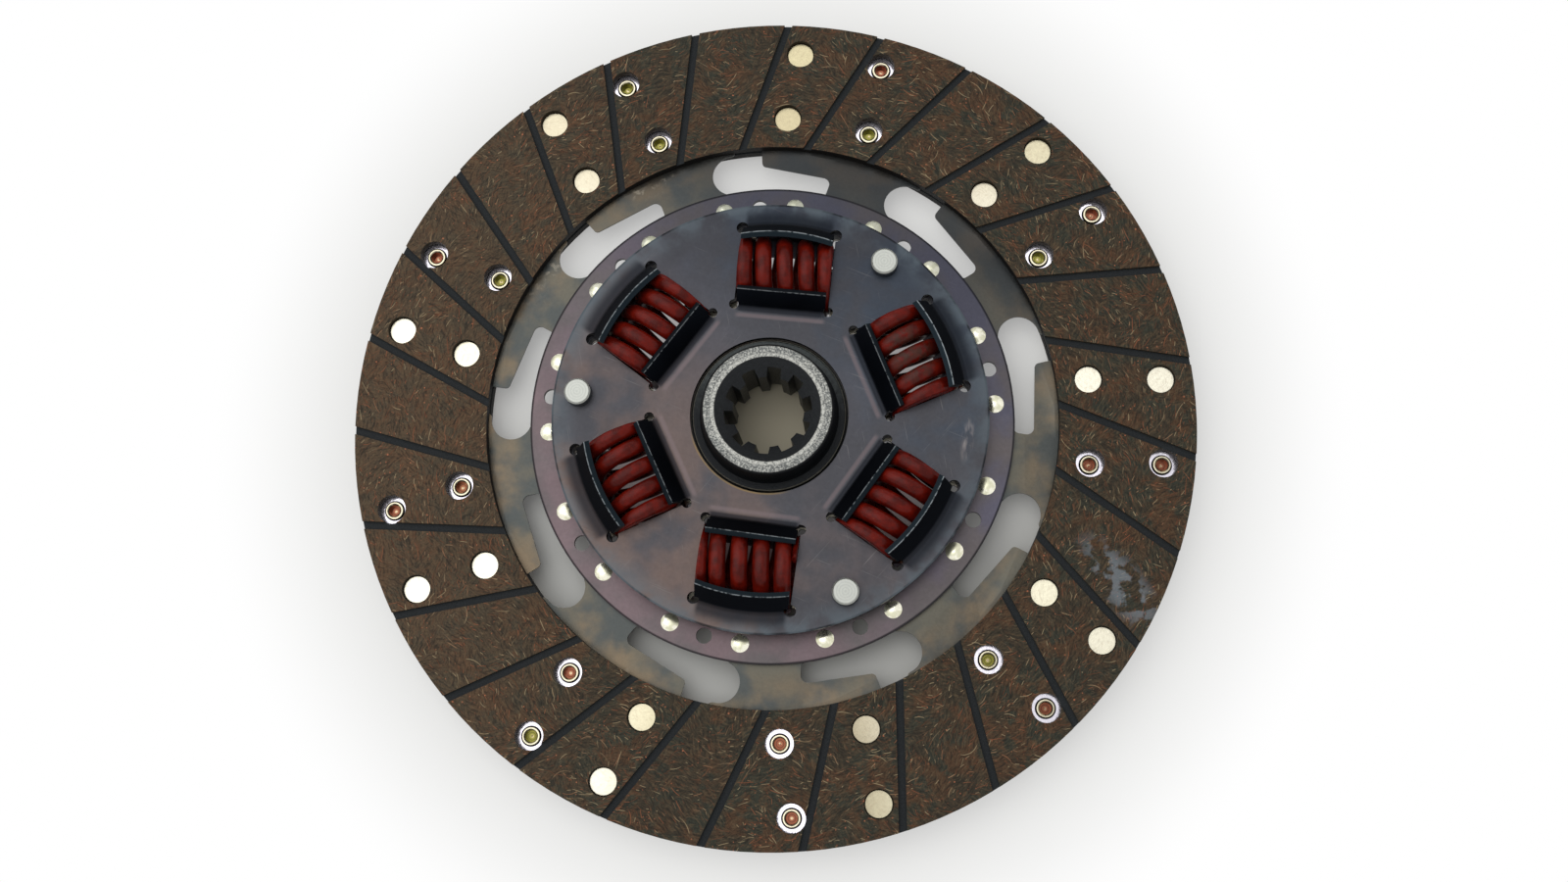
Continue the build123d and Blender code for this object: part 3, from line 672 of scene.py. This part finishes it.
def addCoverMarks(tree, place, colour):
    # a bluer rim; lips painted dark and painted shade at their bends, both standing in for the dark room the
    # steep steel reflects, with a painted highlight beside the inner bends; cut edges, bright broken crests
    # that are a painted highlight, a gold arc round the hub that is a painted reflection on its lower side,
    # and a pale scuff
    at = parts(tree, place)
    away = fromAxis(tree, place)
    rim = times(tree, rise(tree, away, *plate["rimFrom"]),
                rise(tree, noise(tree, place, plate["rimSize"], detail=3.0), 0.35, 0.6))
    colour = tint(tree, colour, rim, plate["coverRim"], share=0.65)
    shade, glint = windowShade(tree, place, away)
    # a painted highlight beside the inner bends
    colour = tint(tree, colour, glint, plate["bend"], share=0.45)
    # painted shade at the bends, in the lips' dark tone
    colour = tint(tree, colour, shade, plate["lip"], share=0.8)
    # the lips painted dark: a painted reflection of a dark room
    lip = calc(tree, "MAXIMUM", rise(tree, at["Z"], *plate["lipAbove"]),
               rise(tree, at["Z"], *plate["lipBelow"]))
    colour = mixTone(tree, lip, colour, plate["lip"])
    up = facingUp(tree)
    cut = times(tree, rise(tree, at["Z"], *plate["cutAbove"]), rise(tree, up, 0.66, 0.76))
    colour = mixTone(tree, cut, colour, plate["cut"])
    # bright broken crests: a painted highlight along the lips' top edges
    innerCrest = times(tree, rise(tree, at["Z"], *plate["innerCrest"]),
                       rise(tree, away, *plate["innerLipsWithin"]))
    crestHighlight = calc(tree, "MAXIMUM", rise(tree, at["Z"], *plate["outerCrest"]), innerCrest)
    broken = rise(tree, noise(tree, place, plate["crestSize"], detail=3.0), 0.34, 0.56)
    colour = tint(tree, colour, times(tree, crestHighlight, broken), plate["line"], share=0.55)
    # a gold arc on the lower side of the hole's edge: a painted reflection
    lower = lifted(tree, at["X"], at["Y"], spread=0.6)
    goldReflection = times(tree, rise(tree, away, *plate["goldWithin"]), rise(tree, lower, *plate["goldBelow"]))
    colour = tint(tree, colour, goldReflection, plate["goldReflection"], share=0.4)
    streaks = noise(tree, calcVector(tree, "MULTIPLY", place, (1, 0.3, 1)), plate["paleSize"])
    pale = times(tree, spot(tree, place, **plate["paleSpot"]), rise(tree, streaks, 0.4, 0.7))
    return tint(tree, colour, pale, plate["pale"], share=0.3)


def addDriveMarks(tree, place, colour):
    # a pale ring round the relief holes: painted light, standing in for the light that shows through them
    return mixTone(tree, reliefEdge(tree, place), colour, plate["reliefLight"])


def makePlateFinish(name, tones, radius, addMarks):
    # from the first tone to the second towards -x and -y, clouds of the third, grain of two sizes, scratches,
    # darker towards +y as painted shade, and a painted shadow along the rim
    material, tree, surface, place = newFinish(name)
    at = parts(tree, place)
    away = fromAxis(tree, place)
    slow = times(tree, noise(tree, place, plate["warmSize"]), 60.0)
    warmth = calc(tree, "ADD", calc(tree, "ADD", at["X"], at["Y"]), slow)
    colour = mixTone(tree, rise(tree, warmth, *plate["warmFrom"]), tones[0], tones[1])
    colour = mixTone(tree, cloudsOf(tree, place, plate["clouds"]), colour, tones[2])
    fine = grainOf(tree, place, size=1.2, contrast=0.3)
    coarse = grainOf(tree, place, size=13.0, contrast=0.7)
    colour = shadeBy(tree, colour, times(tree, fine["Shade"], coarse["Shade"]))
    marks = 0.0
    for angle, length, level in plate["scratches"]:
        lines = use(tree, scratches, {
            "Place": place, "Angle": angle, "Length": length, "Width": plate["scratchWidth"],
            "Level": level})
        marks = calc(tree, "MAXIMUM", marks, lines["Mask"])
    colour = tint(tree, colour, marks, plate["worn"], share=0.25)
    # darker towards +y: painted shade
    upperShade = rise(tree, lifted(tree, at["X"], at["Y"], spread=0.3), *plate["darkFrom"])
    colour = tint(tree, colour, upperShade, plate["dark"], share=0.55)
    # a painted shadow along the plate's edge
    rim = rise(tree, away, radius - 0.55, radius - 0.1)
    colour = tint(tree, colour, rim, plate["shadow"], share=0.85)
    colour = addMarks(tree, place, colour)
    settle(tree, surface, plate, colour, lifted(tree, coarse["Height"], base=0.3, spread=0.2), fine["Height"])
    return material


dress(makePlateFinish("cover plate steel", plate["cover"], plate["coverRadius"], addCoverMarks),
      "cover_plate")
dress(makePlateFinish("drive plate steel", plate["drive"], plate["driveRadius"], addDriveMarks),
      "drive_plate")

# hub: turned nose, dark splines, a neck dark by its own finish and by painted shade, and a painted highlight
# on the collar edge
hub = {
    "nose": tone(158, 158, 152), "pit": tone(84, 86, 85), "spline": tone(34, 36, 38), "neck": tone(6, 8, 11),
    "collar": tone(9, 12, 15), "paler": tone(50, 54, 54), "edge": tone(150, 146, 134),
    "flange": tone(60, 60, 64), "noseAbove": (21.5, 21.7), "noseFrom": (17.1, 17.5),
    "noseWithin": (21.0, 20.7), "turnedLine": 18.7, "lineHalf": (0.22, 0.08), "ringRate": 9.0,
    "pitSize": 0.5, "pitsFrom": (18.2, 19.4), "patchSize": 1.6, "patchFrom": (10.0, 36.0),
    "neckAbove": (12.8, 13.6), "edgeFrom": (24.75, 25.0), "edgeAbove": (10.8, 11.2),
    "flangeFrom": (26.0, 28.0), "splinesWithin": (17.6, 17.2),
    "roughness": 0.42, "specular": 0.25, "bump": 0.0001,
}


def noseColour(tree, place, away):
    # pits where noise is high, more of them outwards, faint turned rings sin(rate away) and a deeper line
    outer = times(tree, rise(tree, away, *hub["pitsFrom"]), 0.1)
    pits = calc(tree, "ADD", noise(tree, place, hub["pitSize"], detail=4.0), outer)
    colour = mixTone(tree, rise(tree, pits, 0.44, 0.68), hub["nose"], hub["pit"])
    rings = calc(tree, "SINE", times(tree, away, hub["ringRate"]))
    colour = tint(tree, colour, rise(tree, rings, 0.6, 1.0), hub["pit"], share=0.3)
    off = calc(tree, "ABSOLUTE", calc(tree, "SUBTRACT", away, hub["turnedLine"]))
    return tint(tree, colour, rise(tree, off, *hub["lineHalf"]), hub["pit"], share=0.6)


def makeHubSteel():
    # a dark collar, paler in patches towards +y, the neck above it, its own dark finish deepened by painted
    # shade, a painted highlight on the collar edge, the flange outside, the splines inside and the nose on
    # top, all grained
    material, tree, surface, place = newFinish("hub steel")
    at = parts(tree, place)
    away = fromAxis(tree, place)
    fine = grainOf(tree, place, size=0.45, contrast=1.1)
    coarse = grainOf(tree, place, size=1.3, contrast=0.7)
    top = times(tree, rise(tree, at["Z"], *hub["noseAbove"]), rise(tree, away, *hub["noseFrom"]),
                rise(tree, away, *hub["noseWithin"]))
    # paler in patches towards +y
    patches = lifted(tree, noise(tree, place, hub["patchSize"], detail=3.0), at["Y"], spread=26.0)
    colour = mixTone(tree, rise(tree, patches, *hub["patchFrom"]), hub["collar"], hub["paler"])
    # the neck near black: its own dark finish deepened by painted shade
    colour = mixTone(tree, rise(tree, at["Z"], *hub["neckAbove"]), colour, hub["neck"])
    # a painted highlight on the collar's rounded edge
    edge = times(tree, rise(tree, away, *hub["edgeFrom"]), rise(tree, at["Z"], *hub["edgeAbove"]))
    colour = tint(tree, colour, edge, hub["edge"], share=0.6)
    colour = mixTone(tree, rise(tree, away, *hub["flangeFrom"]), colour, hub["flange"])
    colour = mixTone(tree, rise(tree, away, *hub["splinesWithin"]), colour, hub["spline"])
    colour = mixTone(tree, top, colour, noseColour(tree, place, away))
    colour = shadeBy(tree, colour, times(tree, fine["Shade"], coarse["Shade"]))
    settle(tree, surface, hub, colour, hub["roughness"], calc(tree, "ADD", fine["Height"], coarse["Height"]))
    feed(tree, surface["Metallic"], lifted(tree, top, base=0.5, spread=0.4))
    return material


dress(makeHubSteel(), "hub")

# stop pins: satin ends with faint turning rings
pin = {
    "end": tone(162, 164, 158), "side": tone(86, 90, 94), "circle": 63.3, "start": 53.7, "pitch": 120.0,
    "ringRate": 7.0, "metallic": 0.85, "bump": 0.00004,
}


def makePinSteel():
    # ends with rings sin(rate distance) from each pin's axis, sides darker as painted shade, grained
    material, tree, surface, place = newFinish("stop pin steel")
    found = use(tree, repeatedPlace, {
        "Place": place, "Circle": pin["circle"], "Start": pin["start"], "Pitch": pin["pitch"]})
    fine = grainOf(tree, place, size=0.7, contrast=0.3)
    rings = calc(tree, "SINE", times(tree, found["Distance"], pin["ringRate"]))
    colour = tint(tree, pin["end"], rise(tree, rings, -0.4, 1.0), pin["side"], share=0.16)
    # darker sides: painted shade
    sideways = rise(tree, calc(tree, "ABSOLUTE", facingUp(tree)), 0.75, 0.4)
    colour = mixTone(tree, sideways, colour, pin["side"])
    colour = shadeBy(tree, colour, fine["Shade"])
    settle(tree, surface, pin, colour, lifted(tree, fine["Height"], base=0.3, spread=0.15), fine["Height"])
    return material


dress(makePinSteel(), "stop_pin_1", "stop_pin_2", "stop_pin_3")

# friction washers and the cone washer, mostly hidden between the plates
washer = {
    "ring": tone(60, 54, 46), "speck": tone(110, 92, 70), "steel": tone(80, 84, 90),
    "specks": {"Size": 1.1, "Level": 0.6}, "roughness": 0.5, "bump": 0.00005,
}


def makeWasherFinish(name, base, metallic):
    # faint paler specks on the base, grained
    material, tree, surface, place = newFinish(name)
    fine = grainOf(tree, place, size=0.6, contrast=0.8)
    marks = cloudsOf(tree, place, washer["specks"])
    colour = tint(tree, base, marks, washer["speck"], share=0.4)
    colour = shadeBy(tree, colour, fine["Shade"])
    settle(tree, surface, washer, colour, washer["roughness"], fine["Height"])
    surface["Metallic"].default_value = metallic
    return material


frictionRing = makeWasherFinish("friction ring", washer["ring"], metallic=0.0)
dress(frictionRing, "front_friction_washer", "rear_friction_washer")
dress(makeWasherFinish("cone washer steel", washer["steel"], metallic=0.8), "spring_washer")
print("plates, lining, hub and rivets finished")

# damper springs: wound wire with ground ends, painted oxide red
spring = {
    "windows": (22.7, 84.7, 142.7, 204.7, 262.7, 324.7), "rolls": (159, 149, 184, 159, 268, 159),
    "circle": 49.6, "height": 6.375, "coilRadius": 9.55, "wireRadius": 2.75, "length": 31.1,
    "activeTurns": 3.2, "activeHalf": 11.375, "endPitch": 5.55, "stepsPerTurn": 64, "stepsRound": 26,
    "squeeze": 0.825,
    "paint": tone(107, 20, 9), "shade": tone(74, 12, 6), "dust": tone(140, 66, 44), "soot": tone(64, 44, 36),
    "shadeClouds": {"Size": 4.0, "Level": 0.5, "Softness": 0.15}, "dustSpecks": {"Size": 0.6, "Level": 0.7},
    "sootSpot": {"middle": (46.0, 19.5), "angle": 112.7, "length": 14.0, "width": 10.0}, "sootSize": 3.0,
    "specular": 0.14, "bump": 0.00005,
}


def springSurface(number):
    # centre line (R cos(t + t0), R sin(t + t0), h(t)), with h = t (pitch / 2 pi) in the active turns and the
    # closer end pitch past them; the wire is centre + r (cos s n + sin s b), and the ground ends are h cut to
    # half the length
    half = math.pi * spring["activeTurns"]
    last = half + 2 * math.pi
    endSlope = spring["endPitch"] / (2 * math.pi)
    activeSlope = spring["activeHalf"] / half
    t = np.linspace(-last, last, int(last / math.pi * spring["stepsPerTurn"]) + 1)[:, None]
    s = np.linspace(0, 2 * math.pi, spring["stepsRound"], endpoint=False)[None, :]
    active = np.abs(t) <= half
    slope = np.where(active, activeSlope, endSlope)
    past = spring["activeHalf"] + (np.abs(t) - half) * endSlope
    climb = np.where(active, t * activeSlope, np.sign(t) * past)
    turn = t + last + math.radians(spring["rolls"][number])
    radius, wire = spring["coilRadius"], spring["wireRadius"]
    steep = np.hypot(radius, slope)
    out = radius + wire * np.cos(s)
    swing = wire * np.sin(s) / steep
    x = out * np.cos(turn) + swing * slope * np.sin(turn)
    y = out * np.sin(turn) - swing * slope * np.cos(turn)
    z = np.clip(climb + swing * radius, -spring["length"] / 2, spring["length"] / 2)
    # laid along the tangent of its window: the coil's x stands up, its y points away from the hub
    lying = np.stack([spring["circle"] + y, z, spring["height"] + x], axis=-1).reshape(-1, 3)
    angle = math.radians(spring["windows"][number])
    cosine, sine = math.cos(angle), math.sin(angle)
    placed = np.stack([lying[:, 0] * cosine - lying[:, 1] * sine,
                       lying[:, 0] * sine + lying[:, 1] * cosine, lying[:, 2]], axis=-1)
    return placed / 1000, (len(t), spring["stepsRound"])


def gridMesh(name, points, shape):
    # quads between neighbours of a grid closed in its second direction, and one flat face at each end
    rows, columns = shape
    index = np.arange(rows * columns).reshape(shape)
    after = np.roll(index, -1, axis=1)
    quads = np.stack([index[:-1], after[:-1], after[1:], index[1:]], axis=-1).reshape(-1, 4)
    faces = quads.tolist() + [index[0][::-1].tolist(), index[-1].tolist()]
    mesh = bpy.data.meshes.new(name)
    mesh.from_pydata(points, [], faces)
    mesh.polygons.foreach_set("use_smooth", np.arange(len(faces)) < len(quads))
    mesh.update()
    piece = bpy.data.objects.new(name, mesh)
    bpy.context.scene.collection.objects.link(piece)
    return piece


def makeSpringPaint():
    # shade clouds and dust specks on the paint, soot on the spring of the first window, grained
    material, tree, surface, place = newFinish("red spring paint")
    fine = grainOf(tree, place, size=0.8, contrast=0.5)
    colour = mixTone(tree, cloudsOf(tree, place, spring["shadeClouds"]), spring["paint"], spring["shade"])
    colour = tint(tree, colour, cloudsOf(tree, place, spring["dustSpecks"]), spring["dust"], share=0.5)
    soot = times(tree, spot(tree, place, **spring["sootSpot"]),
                 rise(tree, noise(tree, place, spring["sootSize"], detail=3.0), 0.38, 0.55))
    colour = tint(tree, colour, soot, spring["soot"], share=0.75)
    colour = shadeBy(tree, colour, fine["Shade"])
    roughness = lifted(tree, fine["Height"], base=0.24, spread=0.15)
    settle(tree, surface, spring, colour, roughness, fine["Height"])
    return material


springPaint = makeSpringPaint()
for number, window in enumerate(spring["windows"]):
    piece = gridMesh(f"woundSpring{number + 1}", *springSurface(number))
    piece.data.materials.append(springPaint)
    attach(piece, "springs")
    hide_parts(f"damper_spring_{number + 1}")
    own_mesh(piece)
print("springs wound")

# floor, lamp and camera
stage = {
    "floorHeight": -8.1, "floorHalf": 3000, "floor": tone(232, 232, 228), "shaded": tone(204, 204, 200),
    "bore": tone(196, 188, 166), "boreWithin": (23.0, 15.0), "discWithin": (125.0, 110.0),
    "glowFrom": (-60.0, 70.0), "shadedFrom": (10.0, -50.0), "besideGlow": 0.5, "underGlow": 0.38,
    "whiteFrom": (140.0, 195.0), "white": tone(255, 255, 255), "roughness": 0.9, "specular": 0.1,
    "lampPlace": (-0.5, 0.25, 1.15), "lampSize": 1.5, "lampPower": 9.0, "skyLevel": 0.5,
    "camera": (0.034531, -0.111680, 0.547379), "cameraTurn": (10.91272, 3.008106, 0.779676),
    "lens": 38.46, "sensor": 36,
}


def seenDirectly(tree):
    # 1 for rays from the camera, from a mirror or through glass
    path = put(tree, "LightPath", {}, {}).outputs
    seen = calc(tree, "MAXIMUM", path["Is Camera Ray"], path["Is Glossy Ray"])
    return calc(tree, "MAXIMUM", seen, path["Is Transmission Ray"])


def makeFloorFinish():
    # the floor glows for rays that see it directly: under the disc more towards +y, a painted pool of light,
    # and not in the bore, beside the disc evenly, and fully from whiteFrom out; from below it is clear; its
    # colour holds painted shade under the lower half of the disc and under the bore
    material, tree, surface, place = newFinish("pale floor")
    y = parts(tree, place)["Y"]
    away = fromAxis(tree, place)
    under = rise(tree, away, *stage["discWithin"])
    bore = rise(tree, away, *stage["boreWithin"])
    # painted shade under the lower half of the disc, and a darker, warmer painted shade under the bore
    shaded = times(tree, under, rise(tree, y, *stage["shadedFrom"]))
    colour = mixTone(tree, shaded, stage["floor"], stage["shaded"])
    feed(tree, surface["Base Color"], mixTone(tree, bore, colour, stage["bore"]))
    surface["Roughness"].default_value = stage["roughness"]
    surface["Specular IOR Level"].default_value = stage["specular"]
    # a painted pool of light on the floor under the disc, brighter towards +y
    lit = times(tree, rise(tree, y, *stage["glowFrom"]), rise(tree, away, *stage["boreWithin"][::-1]),
                stage["underGlow"])
    beside = mixValue(tree, under, stage["besideGlow"], lit)
    glowing = mixValue(tree, rise(tree, away, *stage["whiteFrom"]), beside, 1.0)
    glow = put(tree, "Emission", {}, {"Color": stage["white"], "Strength": 1.0}).outputs[0]
    plain = tree.nodes["Principled BSDF"].outputs[0]
    share = times(tree, glowing, seenDirectly(tree))
    above = put(tree, "MixShader", {}, {0: share, 1: plain, 2: glow}).outputs[0]
    below = put(tree, "NewGeometry", {}, {}).outputs["Backfacing"]
    clear = put(tree, "BsdfTransparent", {}, {}).outputs[0]
    whole = put(tree, "MixShader", {}, {0: below, 1: above, 2: clear}).outputs[0]
    feed(tree, tree.nodes["Material Output"].inputs[0], whole)
    return material


def makeFloor():
    half = stage["floorHalf"] / 1000
    corners = np.array([[-1, -1], [1, -1], [1, 1], [-1, 1]]) * half
    points = np.column_stack([corners, np.full(4, stage["floorHeight"] / 1000)])
    mesh = bpy.data.meshes.new("floor")
    mesh.from_pydata(points, [], [(0, 1, 2, 3)])
    mesh.materials.append(makeFloorFinish())
    floor = bpy.data.objects.new("floor", mesh)
    bpy.context.scene.collection.objects.link(floor)
    # diffuse light passes the floor, so the sky lights the underside too
    floor.visible_diffuse = False


def makeSky():
    # white to rays that see it directly, and skyLevel as bright to diffuse ones
    world = bpy.data.worlds.new("studio")
    world.use_nodes = True
    tree = world.node_tree
    background = tree.nodes["Background"]
    background.inputs["Color"].default_value = stage["white"]
    strength = lifted(tree, seenDirectly(tree), stage["skyLevel"], 1 - stage["skyLevel"])
    feed(tree, background.inputs["Strength"], strength)
    bpy.context.scene.world = world


def makeLamp():
    # a square lamp turned towards the origin
    lamp = bpy.data.lights.new("soft lamp", "AREA")
    lamp.shape = "SQUARE"
    lamp.size = stage["lampSize"]
    lamp.energy = stage["lampPower"]
    holder = bpy.data.objects.new("soft lamp", lamp)
    holder.location = stage["lampPlace"]
    toward = -np.array(stage["lampPlace"])
    flat = math.hypot(toward[0], toward[1])
    heading = math.atan2(toward[1], toward[0]) - math.pi / 2
    holder.rotation_euler = (math.atan2(flat, -toward[2]), 0, heading)
    bpy.context.scene.collection.objects.link(holder)


def makeCamera():
    camera = bpy.data.cameras.new("camera")
    camera.lens = stage["lens"]
    camera.sensor_width = stage["sensor"]
    holder = bpy.data.objects.new("camera", camera)
    holder.location = stage["camera"]
    holder.rotation_euler = [math.radians(angle) for angle in stage["cameraTurn"]]
    bpy.context.scene.collection.objects.link(holder)
    bpy.context.scene.camera = holder


makeFloor()
makeSky()
makeLamp()
makeCamera()
bpy.context.scene.view_settings.view_transform = "Standard"
print("stage set")
